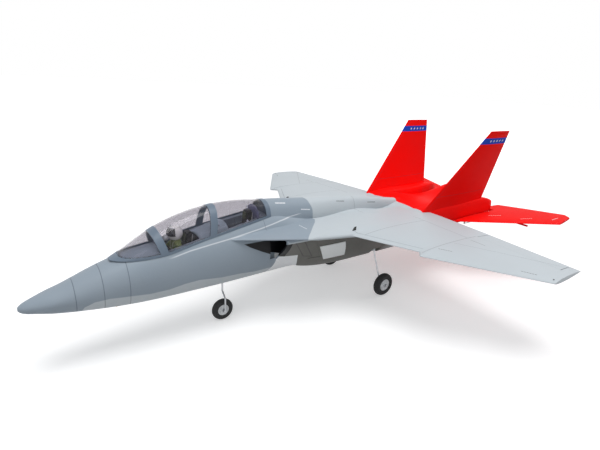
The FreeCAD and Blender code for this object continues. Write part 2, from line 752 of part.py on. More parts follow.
def fan_rotor():
    hub = Part.makeCylinder(ROTOR_HUB, ROTOR_LENGTH, along(ROTOR_START), vec(0, 1, 0))
    spinner_points = [(0, -16.0), (5.0, -14.5), (9.5, -10.5), (12.8, -5.0), (ROTOR_HUB, 0)]
    profile = smooth_arc([at(x, ROTOR_START + s, THRUST_Z) for x, s in spinner_points])
    wire = Part.Wire([profile, Part.makeLine(at(ROTOR_HUB, ROTOR_START, THRUST_Z), along(ROTOR_START)),
                      Part.makeLine(along(ROTOR_START), along(ROTOR_START - 16.0))])
    spinner = Part.Face(wire).revolve(along(0), vec(0, 1, 0), 360)
    shaft_start = ROTOR_START + ROTOR_LENGTH - 1
    shaft = Part.makeCylinder(SHAFT_RADIUS, VANE_START + 22 - shaft_start, along(shaft_start), vec(0, 1, 0))
    blades = []
    for i in range(FAN_BLADES):
        blade = fan_blade()
        blade.rotate(along(0), vec(0, 1, 0), 360.0 * i / FAN_BLADES)
        blades.append(blade)
    return fuse([hub, spinner, shaft] + blades)


def motor_case():
    body = Part.makeCylinder(MOTOR_RADIUS, MOTOR_LENGTH, along(VANE_START), vec(0, 1, 0))
    body = fuse([body, Part.makeCone(MOTOR_RADIUS, 4.0, 16, along(VANE_START + MOTOR_LENGTH), vec(0, 1, 0))])
    return body.cut(Part.makeCylinder(SHAFT_RADIUS + PLAY, 24, along(VANE_START - 1), vec(0, 1, 0)))


def exhaust_tube():
    length = TAIL_END - FAN_START - FAN_LENGTH
    outer = rear_bore()
    inner = Part.makeCone(FAN_BORE + FAN_WALL - TUBE_WALL, TUBE_END_RADIUS - TUBE_WALL, length,
                          along(FAN_START + FAN_LENGTH), vec(0, 1, 0))
    return outer.cut(inner)


def nozzle_ring():
    outer = Part.makeCone(NOZZLE_RADIUS, NOZZLE_RADIUS - 4.0, NOZZLE_LENGTH, along(TAIL_END), vec(0, 1, 0))
    inner = Part.makeCone(TUBE_END_RADIUS - TUBE_WALL, TUBE_END_RADIUS + 2.0, NOZZLE_LENGTH, along(TAIL_END), vec(0, 1, 0))
    return outer.cut(inner)


# ---------------------------------------------------------------- undercarriage
LEG_DROP = 10.0            # the nose leg leaves its steering axis this far above the tyre
NOSE_AXLE_X = 11.0


def nose_leg():
    r = NOSE_WHEEL / 2
    path = [at(0, NOSE_GEAR, STEER_Z + 4), at(0, NOSE_GEAR, NOSE_WHEEL + LEG_DROP + 6),
            at(NOSE_AXLE_X, NOSE_GEAR, NOSE_WHEEL + LEG_DROP - 4), at(NOSE_AXLE_X, NOSE_GEAR, r),
            at(-NOSE_TYRE_WIDTH / 2 - 3, NOSE_GEAR, r)]
    leg = bent_wire(path, LEG_RADIUS)
    collar = rod(at(NOSE_TYRE_WIDTH / 2 + 0.6, NOSE_GEAR, r), at(NOSE_AXLE_X, NOSE_GEAR, r), 3.0)
    stop = rod(at(-NOSE_TYRE_WIDTH / 2 - 0.6, NOSE_GEAR, r), at(-NOSE_TYRE_WIDTH / 2 - 3, NOSE_GEAR, r), 3.0)
    rest = rod(at(0, NOSE_GEAR, BAY_FLOOR - 3.4), at(0, NOSE_GEAR, BAY_FLOOR - 0.3), 2.7)
    return fuse([leg, collar, stop, rest])


def main_leg():
    r = MAIN_WHEEL / 2
    x = MAIN_TRACK / 2
    top = (MAIN_BLOCK[0] + MAIN_BLOCK[1]) / 2
    inner = x - MAIN_TYRE_WIDTH / 2 - 3.5
    path = [at(top, MAIN_GEAR, MAIN_BLOCK[3] - 3), at(top, MAIN_GEAR, MAIN_BLOCK[2] - 6), at(inner, MAIN_GEAR, r + 4),
            at(inner, MAIN_GEAR, r), at(x + MAIN_TYRE_WIDTH / 2 + 3, MAIN_GEAR, r)]
    leg = bent_wire(path, LEG_RADIUS)
    collar = rod(at(inner, MAIN_GEAR, r), at(x - MAIN_TYRE_WIDTH / 2 - 0.5, MAIN_GEAR, r), 3.0)
    stop = rod(at(x + MAIN_TYRE_WIDTH / 2 + 0.5, MAIN_GEAR, r), at(x + MAIN_TYRE_WIDTH / 2 + 3, MAIN_GEAR, r), 3.0)
    return fuse([leg, collar, stop])


def main_block():
    block = main_block_box(PORT)
    top = (MAIN_BLOCK[0] + MAIN_BLOCK[1]) / 2
    hole = rod(at(top, MAIN_GEAR, 80), at(top, MAIN_GEAR, MAIN_BLOCK[3] - 3), LEG_RADIUS)
    block = block.cut(hole)
    for place in main_screw_places():
        block = block.cut(rod(place, place + vec(0, 0, 7), 1.1))
    return block


def main_screw_places():
    top = (MAIN_BLOCK[0] + MAIN_BLOCK[1]) / 2
    return [at(top, MAIN_GEAR + step * 8, MAIN_BLOCK[2]) for step in (-1, 1)]


def nose_screw_places():
    return [at(step * 6, NOSE_GEAR + step * 5, BAY_FLOOR + NOSE_BLOCK[2]) for step in (-1, 1)]


def nose_block():
    half, deep, high = NOSE_BLOCK
    block = box(-half, half, NOSE_GEAR - deep, NOSE_GEAR + deep, BAY_FLOOR, BAY_FLOOR + high)
    block = block.cut(rod(at(0, NOSE_GEAR, BAY_FLOOR - 5), at(0, NOSE_GEAR, BAY_FLOOR + 40), LEG_RADIUS + PLAY))
    for place in nose_screw_places():
        block = block.cut(rod(place - vec(0, 0, 8), place + vec(0, 0, 1), 1.1))
    return block


def screws():
    found = []
    for place in main_screw_places():
        screw = fuse([rod(place - vec(0, 0, 1.2), place, 2.2), rod(place, place + vec(0, 0, 7), 1.1)])
        found += [screw, mirrored(screw)]
    for place in nose_screw_places():
        found.append(fuse([rod(place, place + vec(0, 0, 1.2), 2.2), rod(place - vec(0, 0, 8), place, 1.1)]))
    return Part.makeCompound(found)


def wheel(x, station, diameter, width):
    """Tyre and hub of a wheel on an axle that runs across; returns (tyre, hub)."""
    r = diameter / 2
    hub_r = r * 0.52
    low, high = hub_r, r
    flat = width * 0.36
    points = [at(x + off, station, r + rad) for rad, off in ((low, -flat), (low + (high - low) * 0.62, -width / 2),
              (high, 0.0), (low + (high - low) * 0.62, width / 2), (low, flat))]
    wire = Part.Wire([Part.makeLine(points[0], points[1]),
                      Part.Arc(points[1], points[2], points[3]).toShape(),
                      Part.makeLine(points[3], points[4]), Part.makeLine(points[4], points[0])])
    tyre = Part.Face(wire).revolve(at(0, station, r), vec(1, 0, 0), 360)
    half = width * 0.36
    hub = Part.makeCylinder(hub_r, 2 * half, at(x - half, station, r), vec(1, 0, 0))
    for sign in (-1, 1):
        dish_start = x + sign * half
        dish = Part.makeCone(hub_r * 0.86, hub_r * 0.62, 2.2, at(dish_start, station, r), vec(-sign, 0, 0))
        hub = hub.cut(dish)
    boss = Part.makeCylinder(3.2, width, at(x - width / 2, station, r), vec(1, 0, 0))
    hub = fuse([hub, boss])
    hub = hub.cut(Part.makeCylinder(LEG_RADIUS + PLAY, width + 4, at(x - width / 2 - 2, station, r), vec(1, 0, 0)))
    return tyre, hub


# ---------------------------------------------------------------- fitted inside and outside
def aileron_horn():
    link = aileron_link(PORT)
    link_hinge = link.hinge
    plate = link.lever(link_hinge, 2.0, 0)
    return plate.common(box(0, SPAN, 0, LENGTH, 0, link_hinge.z + 1))


def stabilator_rod():
    link = stabilator_link(PORT)
    bar = rod(at(67.0, STAB_PIVOT, STAB_Z), at(STAB_ROD_OUT, STAB_PIVOT, STAB_Z), STAB_ROD_RADIUS)
    return fuse([bar, link.lever(link.hinge, 4.0, 0)])


def bushes():
    found = []
    for x0, x1 in BUSHES:
        bush = rod(at(x0, STAB_PIVOT, STAB_Z), at(x1, STAB_PIVOT, STAB_Z), BUSH_RADIUS)
        bush = bush.cut(rod(at(x0 - 1, STAB_PIVOT, STAB_Z), at(x1 + 1, STAB_PIVOT, STAB_Z), STAB_ROD_RADIUS + PLAY))
        found += [bush, mirrored(bush)]
    return Part.makeCompound(found)


def battery():
    w, l, h = BATTERY
    body = box(-w / 2, w / 2, BATTERY_START, BATTERY_START + l, BAY_FLOOR + TRAY_THICK, BAY_FLOOR + TRAY_THICK + h)
    return body.makeFillet(2.5, [e for e in body.Edges if e.Length > 90])


def tray():
    half = BAY_HALF - 2.0
    return box(-half, half, BAY_START + 4, BATTERY_START + BATTERY[1] + 4, BAY_FLOOR, BAY_FLOOR + TRAY_THICK)


def speed_controller():
    z = BAY_FLOOR + TRAY_THICK
    body = box(-11, 11, BAY_START + 6, BAY_START + 46, z, z + 7)
    fins = [box(-9, 9, BAY_START + 10 + i * 5, BAY_START + 12 + i * 5, z + 7, z + 10) for i in range(7)]
    return fuse([body] + fins)


def receiver():
    body = box(-BAY_HALF + 1.0, -BAY_HALF + 11.5, 298, 322, BAY_FLOOR, BAY_FLOOR + 15)
    return body.makeFillet(1.0, [e for e in body.Edges if e.Length > 20])


DOOR_OUTLINE = [(432.0, 132.0), (488.0, 132.0), (504.0, 97.0), (456.0, 97.0)]
RECESS_OUTLINE = [(396.0, 140.0), (424.0, 140.0), (446.0, 106.0), (420.0, 106.0)]
DOOR_THICK = 1.4
RECESS_DEPTH = 1.2


def gear_door():
    skin = trunk(DOOR_THICK).cut(trunk(0.0))
    return skin.common(prism_across(DOOR_OUTLINE, 45, 90))


def trunk_recess():
    """Shallow sunk panel ahead of the door."""
    return trunk(1.0).cut(trunk(-RECESS_DEPTH)).common(prism_across(RECESS_OUTLINE, 45, 90))


# ---------------------------------------------------------------- assembly
def build():
    nodes = {}
    form = port_form().cut(above_rail(0.0))
    halves = {}
    seams = (("nose_cone", -1, NOSE_SEAM), ("forward_fuselage", NOSE_SEAM, FORWARD_SEAM),
             ("centre_fuselage", FORWARD_SEAM, REAR_SEAM), ("rear_fuselage", REAR_SEAM, TAIL_END))
    for name, start, end in seams:
        halves[name] = port_moulding(form, start, end)
        nodes[name] = whole(halves[name])

    nodes["fan_housing"] = fan_housing()
    nodes["fan_rotor"] = fan_rotor()
    nodes["motor_case"] = motor_case()
    nodes["exhaust_tube"] = exhaust_tube()
    nodes["nozzle_ring"] = nozzle_ring()

    nodes["battery"] = battery()
    nodes["battery_tray"] = tray()
    nodes["speed_controller"] = speed_controller()
    nodes["receiver"] = receiver()

    panel = wing_panel().cut(halves["centre_fuselage"]).cut(halves["rear_fuselage"])
    flap = aileron_panel()
    fin = fin_form().cut(halves["centre_fuselage"]).cut(halves["rear_fuselage"]).cut(panel)
    stabilator = stabilator_form()
    pivot = stabilator_rod()
    stabilator = stabilator.cut(pivot)
    horn = aileron_horn()
    flap = flap.cut(horn)
    door = gear_door()
    tyre, hub = wheel(MAIN_TRACK / 2, MAIN_GEAR, MAIN_WHEEL, MAIN_TYRE_WIDTH)
    for name, side in SIDES:
        nodes["wing_" + name] = for_side(panel, side)
        nodes["aileron_" + name] = for_side(flap, side)
        nodes["aileron_horn_" + name] = for_side(horn, side)
        nodes["fin_" + name] = for_side(fin, side)
        nodes["stabilator_" + name] = for_side(stabilator, side)
        nodes["pivot_rod_" + name] = for_side(pivot, side)
        nodes["main_tyre_" + name] = for_side(tyre, side)
        nodes["main_wheel_hub_" + name] = for_side(hub, side)
        nodes["aileron_servo_arm_" + name] = for_side(aileron_link(PORT).arm(), side)
        nodes["aileron_pushrod_" + name] = for_side(aileron_link(PORT).pushrod(), side)
        nodes["stabilator_servo_arm_" + name] = for_side(stabilator_link(PORT).arm(), side)
        nodes["stabilator_pushrod_" + name] = for_side(stabilator_link(PORT).pushrod(), side)

    steering = steering_link()
    nodes["steering_servo_arm"] = steering.arm()
    nodes["steering_pushrod"] = steering.pushrod()
    nodes["steering_arm"] = steering.lever(steering.hinge, 4.5, LEG_RADIUS)
    servos = [steering.servo()]
    for link in (aileron_link(PORT), stabilator_link(PORT)):
        servos += [link.servo(), mirrored(link.servo())]
    nodes["servo_cases"] = Part.makeCompound(servos)
    nodes["pivot_bushes"] = bushes()
    nodes["wing_spar"] = rod(at(-SPAR_HALF, SPAR_STATION, WING_Z - 1), at(SPAR_HALF, SPAR_STATION, WING_Z - 1),
                             SPAR_RADIUS)

    nodes["nose_gear_block"] = nose_block()
    nodes["nose_gear_leg"] = nose_leg()
    nose_tyre, nose_hub = wheel(0, NOSE_GEAR, NOSE_WHEEL, NOSE_TYRE_WIDTH)
    nodes["nose_tyre"] = nose_tyre
    nodes["nose_wheel_hub"] = nose_hub
    nodes["main_gear_blocks"] = Part.makeCompound([main_block(), mirrored(main_block())])
    nodes["main_gear_legs"] = Part.makeCompound([main_leg(), mirrored(main_leg())])
    nodes["gear_doors"] = Part.makeCompound([door, mirrored(door)])
    nodes["screws"] = screws()

    frame, glass = canopy_parts()
    nodes["canopy_frame"] = frame
    nodes["canopy_glass"] = glass
    nodes["cockpit_tub"] = cockpit_tub(frame)
    nodes["ejection_seats"] = Part.makeCompound([seat(202.5, 170.0), seat(306.0, 190.0)])
    nodes["instrument_hoods"] = Part.makeCompound([hood(152.0, 34.0, TUB_FLOOR + TUB_WALL, 158.0, 10.0),
                                                   hood(256.0, 22.0, TUB_FLOOR + TUB_WALL, 178.0, 13.0)])
    torso, helmet = pilot()
    nodes["pilot_torso"] = torso
    nodes["pilot_helmet"] = helmet
    return nodes


def main():
    os.makedirs("parts", exist_ok=True)
    for name, shape in build().items():
        shape.exportStep("parts/" + name + ".step")
        print(name, len(shape.Solids), round(shape.Volume, 1), shape.isValid())


main()
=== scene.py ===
"""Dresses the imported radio-controlled jet: paint, glass, tyres, pilot and small fittings."""
import bpy
import bmesh
import math
from mathutils import Matrix, Vector


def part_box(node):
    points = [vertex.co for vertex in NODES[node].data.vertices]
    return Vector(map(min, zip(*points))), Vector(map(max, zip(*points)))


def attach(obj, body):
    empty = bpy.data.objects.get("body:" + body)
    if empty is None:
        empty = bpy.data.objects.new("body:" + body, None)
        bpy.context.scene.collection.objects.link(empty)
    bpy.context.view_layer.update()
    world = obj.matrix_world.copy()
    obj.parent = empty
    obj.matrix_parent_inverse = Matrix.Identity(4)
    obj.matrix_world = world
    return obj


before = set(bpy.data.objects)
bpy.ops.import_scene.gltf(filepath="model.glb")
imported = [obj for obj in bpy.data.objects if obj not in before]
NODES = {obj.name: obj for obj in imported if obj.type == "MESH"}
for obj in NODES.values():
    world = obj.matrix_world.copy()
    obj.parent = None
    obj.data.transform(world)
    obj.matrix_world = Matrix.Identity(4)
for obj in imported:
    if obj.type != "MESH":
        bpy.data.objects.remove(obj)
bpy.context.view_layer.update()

scene = bpy.context.scene

HALF_LENGTH = 0.527        # a station is measured aft from the nose; the frame's middle is at this one


def spot(x, station, z):
    """Millimetres across, aft of the nose and up, as a point of the frame in metres."""
    return Vector((x / 1000, station / 1000 - HALF_LENGTH, z / 1000))


# ---------------------------------------------------------------- node graphs written as sums
class Graph:
    def __init__(self, name):
        self.material = bpy.data.materials.new(name)
        self.material.use_nodes = True
        self.tree = self.material.node_tree
        self.tree.nodes.clear()
        self.output = self.tree.nodes.new("ShaderNodeOutputMaterial")
        self.shader = self.tree.nodes.new("ShaderNodeBsdfPrincipled")
        self.tree.links.new(self.shader.outputs[0], self.output.inputs[0])
        self._place = None

    def feed(self, socket, value):
        if isinstance(value, Term):
            self.tree.links.new(value.socket, socket)
        elif isinstance(value, (tuple, list)) and len(value) == 3 and socket.type == "RGBA":
            socket.default_value = (*value, 1.0)
        else:
            socket.default_value = value

    def set(self, **values):
        for key, value in values.items():
            self.feed(self.shader.inputs[key.replace("_", " ")], value)

    def place(self):
        """x, station and z in millimetres."""
        if self._place is None:
            coord = self.tree.nodes.new("ShaderNodeTexCoord")
            split = self.tree.nodes.new("ShaderNodeSeparateXYZ")
            self.tree.links.new(coord.outputs["Object"], split.inputs[0])
            x, y, z = (Term(self, o) for o in split.outputs)
            self._place = (x * 1000.0, y * 1000.0 + HALF_LENGTH * 1000, z * 1000.0)
            self._vector = Term(self, coord.outputs["Object"])
        return self._place

    def math(self, kind, *values, clamp=False):
        node = self.tree.nodes.new("ShaderNodeMath")
        node.operation = kind
        node.use_clamp = clamp
        for socket, value in zip(node.inputs, values):
            self.feed(socket, value)
        return Term(self, node.outputs[0])

    def mix(self, share, low, high):
        node = self.tree.nodes.new("ShaderNodeMix")
        node.data_type = "RGBA"
        self.feed(node.inputs[0], share)
        self.feed(node.inputs[6], low)
        self.feed(node.inputs[7], high)
        return Term(self, node.outputs[2])

    def noise(self, scale, detail=2.0, rough=0.5, stretch=None):
        self.place()
        vector = self._vector
        if stretch:
            mapping = self.tree.nodes.new("ShaderNodeMapping")
            mapping.inputs["Scale"].default_value = stretch
            self.feed(mapping.inputs[0], vector)
            vector = Term(self, mapping.outputs[0])
        node = self.tree.nodes.new("ShaderNodeTexNoise")
        self.feed(node.inputs["Vector"], vector)
        node.inputs["Scale"].default_value = scale
        node.inputs["Detail"].default_value = detail
        node.inputs["Roughness"].default_value = rough
        return Term(self, node.outputs["Fac"])

    def cells(self, scale):
        self.place()
        node = self.tree.nodes.new("ShaderNodeTexVoronoi")
        node.feature = "SMOOTH_F1"
        self.feed(node.inputs["Vector"], self._vector)
        node.inputs["Scale"].default_value = scale
        return Term(self, node.outputs["Distance"])

    def bump(self, height, strength, distance):
        node = self.tree.nodes.new("ShaderNodeBump")
        node.inputs["Strength"].default_value = strength
        node.inputs["Distance"].default_value = distance
        self.feed(node.inputs["Height"], height)
        return Term(self, node.outputs[0])

    def inward(self):
        """1 where a surface faces the middle plane squarely, -1 where it faces away from it."""
        coord = self.tree.nodes.new("ShaderNodeTexCoord")
        split = self.tree.nodes.new("ShaderNodeSeparateXYZ")
        self.tree.links.new(coord.outputs["Normal"], split.inputs[0])
        return Term(self, split.outputs[0]) * self.math("SIGN", self.place()[0]) * -1.0

    def past(self, value, edge, soft=0.4):
        """0 below the edge and 1 past it."""
        return self.math("MULTIPLY_ADD", value - edge, 1.0 / soft, 0.5, clamp=True)

    def within(self, value, low, high, soft=0.4):
        return self.past(value, low, soft) * (1.0 - self.past(value, high, soft))

    def line(self, value, centre, width, soft=0.35):
        """1 on a thin line at the centre."""
        return 1.0 - self.past(self.math("ABSOLUTE", value - centre), width / 2, soft)

    def either(self, *masks):
        total = masks[0]
        for mask in masks[1:]:
            total = self.math("MAXIMUM", total, mask)
        return total

    def curve(self, value, points):
        """A value read along a curve through the points, flat beyond its ends."""
        xs, ys = [p[0] for p in points], [p[1] for p in points]
        low_x, high_x, low_y, high_y = min(xs), max(xs), min(ys), max(ys)
        node = self.tree.nodes.new("ShaderNodeFloatCurve")
        curve = node.mapping.curves[0]
        node.mapping.extend = "HORIZONTAL"
        scaled = [((x - low_x) / (high_x - low_x), (y - low_y) / max(high_y - low_y, 1e-6)) for x, y in points]
        curve.points[0].location, curve.points[1].location = scaled[0], scaled[-1]
        for place in scaled[1:-1]:
            curve.points.new(*place)
        for point in curve.points:
            point.handle_type = "VECTOR"
        node.mapping.update()
        self.feed(node.inputs["Value"], (value - low_x) * (1.0 / (high_x - low_x)))
        return Term(self, node.outputs[0]) * (high_y - low_y) + low_y


class Term:
    def __init__(self, graph, socket):
        self.graph, self.socket = graph, socket

    def __add__(self, other):
        return self.graph.math("ADD", self, other)

    def __radd__(self, other):
        return self.graph.math("ADD", other, self)

    def __sub__(self, other):
        return self.graph.math("SUBTRACT", self, other)

    def __rsub__(self, other):
        return self.graph.math("SUBTRACT", other, self)

    def __mul__(self, other):
        return self.graph.math("MULTIPLY", self, other)

    def __rmul__(self, other):
        return self.graph.math("MULTIPLY", other, self)


def linear(red, green, blue):
    """A colour given as it looks on a screen, 0 to 255."""
    return tuple(c / 255 / 12.92 if c / 255 <= 0.04045 else ((c / 255 + 0.055) / 1.055) ** 2.4
                 for c in (red, green, blue))


# ---------------------------------------------------------------- camera, floor and lamps
def set_camera():
    azimuth, elevation, roll = 0.9245, 0.3383, 0.0608
    back = Vector((math.sin(azimuth) * math.cos(elevation), -math.cos(azimuth) * math.cos(elevation),
                   math.sin(elevation)))
    right = (-back).cross(Vector((0, 0, 1))).normalized()
    up = right.cross(-back)
    across = right * math.cos(roll) + up * math.sin(roll)
    upward = up * math.cos(roll) - right * math.sin(roll)
    data = bpy.data.cameras.new("camera")
    data.sensor_width = 36.0
    data.lens = 24.96
    data.clip_start = 0.01
    camera = bpy.data.objects.new("camera", data)
    turn = Matrix((across, upward, back)).transposed().to_4x4()
    camera.matrix_world = Matrix.Translation((0.5747, -0.5203, 0.4005)) @ turn
    scene.collection.objects.link(camera)
    scene.camera = camera


def set_stage():
    graph = Graph("floor")
    tree = graph.tree
    paths = tree.nodes.new("ShaderNodeLightPath")
    graph.set(Base_Color=(0.80, 0.80, 0.80), Roughness=0.9)
    graph.shader.inputs["Specular IOR Level"].default_value = 0.1
    mesh = bpy.data.meshes.new("floor")
    reach = 14.0
    mesh.from_pydata([(-reach, -reach, 0), (reach, -reach, 0), (reach, reach, 0), (-reach, reach, 0)], [],
                     [(0, 1, 2, 3)])
    floor = bpy.data.objects.new("floor", mesh)
    floor.data.materials.append(graph.material)
    scene.collection.objects.link(floor)
    # seen directly or in a mirror the floor is a share of its own lit colour and a share of plain white
    glow = tree.nodes.new("ShaderNodeEmission")
    glow.inputs[0].default_value = (1, 1, 1, 1)
    coord = tree.nodes.new("ShaderNodeTexCoord")
    away = tree.nodes.new("ShaderNodeVectorMath")
    away.operation = "LENGTH"
    tree.links.new(coord.outputs["Object"], away.inputs[0])
    graph.feed(glow.inputs[1], graph.past(Term(graph, away.outputs["Value"]), 1.7, 1.8) * 0.75 + 0.40)
    add = tree.nodes.new("ShaderNodeAddShader")
    mix = tree.nodes.new("ShaderNodeMixShader")
    seen = graph.math("MAXIMUM", Term(graph, paths.outputs["Is Camera Ray"]),
                      graph.math("MAXIMUM", Term(graph, paths.outputs["Is Glossy Ray"]),
                                 Term(graph, paths.outputs["Is Transmission Ray"])))
    # light that bounces off it onto the underside is weaker, so red paint casts less of a tint
    graph.feed(graph.shader.inputs["Base Color"], seen * 0.32 + 0.48)
    tree.links.new(graph.shader.outputs[0], add.inputs[0])
    tree.links.new(glow.outputs[0], add.inputs[1])
    tree.links.new(seen.socket, mix.inputs[0])
    tree.links.new(graph.shader.outputs[0], mix.inputs[1])
    tree.links.new(add.outputs[0], mix.inputs[2])
    tree.links.new(mix.outputs[0], graph.output.inputs[0])


def set_world():
    world = bpy.data.worlds.new("studio")
    scene.world = world
    world.use_nodes = True
    tree = world.node_tree
    tree.nodes.clear()
    output = tree.nodes.new("ShaderNodeOutputWorld")
    paths = tree.nodes.new("ShaderNodeLightPath")
    plain, lit = tree.nodes.new("ShaderNodeBackground"), tree.nodes.new("ShaderNodeBackground")
    plain.inputs[0].default_value = (1, 1, 1, 1)
    plain.inputs[1].default_value = 1.0
    lit.inputs[0].default_value = (0.93, 0.96, 1.0, 1)
    lit.inputs[1].default_value = 0.34
    most, more = tree.nodes.new("ShaderNodeMath"), tree.nodes.new("ShaderNodeMath")
    most.operation = more.operation = "MAXIMUM"
    tree.links.new(paths.outputs["Is Camera Ray"], more.inputs[0])
    tree.links.new(paths.outputs["Is Glossy Ray"], more.inputs[1])
    tree.links.new(more.outputs[0], most.inputs[0])
    tree.links.new(paths.outputs["Is Transmission Ray"], most.inputs[1])
    mix = tree.nodes.new("ShaderNodeMixShader")
    tree.links.new(most.outputs[0], mix.inputs[0])
    tree.links.new(lit.outputs[0], mix.inputs[1])
    tree.links.new(plain.outputs[0], mix.inputs[2])
    tree.links.new(mix.outputs[0], output.inputs[0])


def lamp(name, place, target, size, power, colour=(1, 1, 1)):
    data = bpy.data.lights.new(name, "AREA")
    data.shape = "DISK"
    data.size = size
    data.energy = power
    data.color = colour
    light = bpy.data.objects.new(name, data)
    light.location = place
    light.rotation_euler = (Vector(target) - Vector(place)).to_track_quat("-Z", "Y").to_euler()
    scene.collection.objects.link(light)


set_camera()
set_stage()
set_world()
lamp("key", (0.45, -0.45, 2.55), (0, 0, 0.1), 1.6, 38)
lamp("fill", (1.6, -1.7, 1.0), (0, 0, 0.1), 1.6, 10)
lamp("back", (0.3, 1.9, 1.9), (0, 0.1, 0.1), 1.6, 12)


# ---------------------------------------------------------------- paint of the airframe
DARK = linear(138, 151, 163)
PALE = linear(187, 195, 200)
WING_SHADOW_GREY = linear(90, 89, 83)              # painted shadow: the warm dark grey that stands in for the wing's shadow on the trunks below the wing
LINE = linear(70, 80, 92)
WHITE = linear(240, 242, 244)
INK = linear(40, 44, 50)
RED = linear(250, 8, 4)
BLUE = linear(30, 72, 190)

FRAME_LINES = (63.7, 97.3, 129.8)          # ring-shaped panel lines round the nose
# height of the lower edge of the dark paint along the fuselage's side
WAVE = ((60, 60), (72, 97), (85, 103.5), (103, 105), (128, 102.6), (155, 99.7), (183, 100.5), (205, 104.6),
        (228, 106), (265, 101), (296, 100), (325, 96.4), (350, 97))
# station where the dark paint ends: over the top by the distance out, and down the side by height
TOP_EDGE = ((0, 443.5), (14, 447), (20, 451), (26, 450.5), (36, 445), (45, 438.4), (75, 407), (88, 392), (120, 356))
SIDE_EDGE = ((80, 340), (88, 350), (95, 355.5), (107, 361), (120, 363.5), (152, 364))
TOP_FACES = 152.0          # above this height a face counts as the upper side
UNDER_WING = 149.5         # below this one it lies under the wing
# lower edge of the painted shadow under the strake at the intake, by station, and the course of the painted highlight
# along the fold below the canopy rail
INLET_SHADOW_EDGE = ((299, 152), (312, 143.5), (334, 132), (350, 124.5), (366, 121), (372, 119))
RAIL_HIGHLIGHT_LINE = ((190, 147.6), (217, 153), (248, 156.8), (281, 160.6), (335, 168.2), (375, 174.6), (422, 178.7))


def dash(graph, across, along, start, end, width, breaks=0):
    """A painted bar between two points of a plane given by two coordinates, broken into short marks."""
    length = math.dist(start, end)
    ux, uy = (end[0] - start[0]) / length, (end[1] - start[1]) / length
    run = (across - start[0]) * ux + (along - start[1]) * uy
    off = (across - start[0]) * -uy + (along - start[1]) * ux
    mask = graph.within(run, 0, length) * graph.line(off, 0.0, width)
    if breaks:
        share = graph.math("FRACT", run * (breaks / length))
        mask = mask * graph.past(share, 0.22, 0.1)
    return mask


def foam_finish(graph, colour, lines, gloss=0.42, shine=0.3, painted_shadow=None, veil=0.10):
    """Satin paint over moulded foam: faint beads, slight mottling, grooves at the panel lines."""
    beads = graph.cells(420.0)
    fine = graph.noise(1500.0, 3.0)
    mottle = graph.noise(14.0, 3.0, 0.6)
    shade = graph.mix(mottle * veil, colour, (1, 1, 1))
    shade = graph.mix(graph.past(mottle, 0.62, 0.5) * 0.07, shade, (0.02, 0.02, 0.025))
    shade = graph.mix(lines * 0.55, shade, LINE)
    # painted shadow: the given mask turns the colour near black
    if painted_shadow:
        shade = graph.mix(painted_shadow, shade, (0.002, 0.002, 0.003))
    graph.set(Base_Color=shade, IOR=1.4)
    graph.shader.inputs["Specular IOR Level"].default_value = shine
    graph.feed(graph.shader.inputs["Roughness"], fine * 0.10 + mottle * 0.10 + (gloss - 0.08))
    height = beads * -0.12 + fine * 0.05 + lines * -0.9
    graph.feed(graph.shader.inputs["Normal"], graph.bump(height, 0.55, 0.0006))


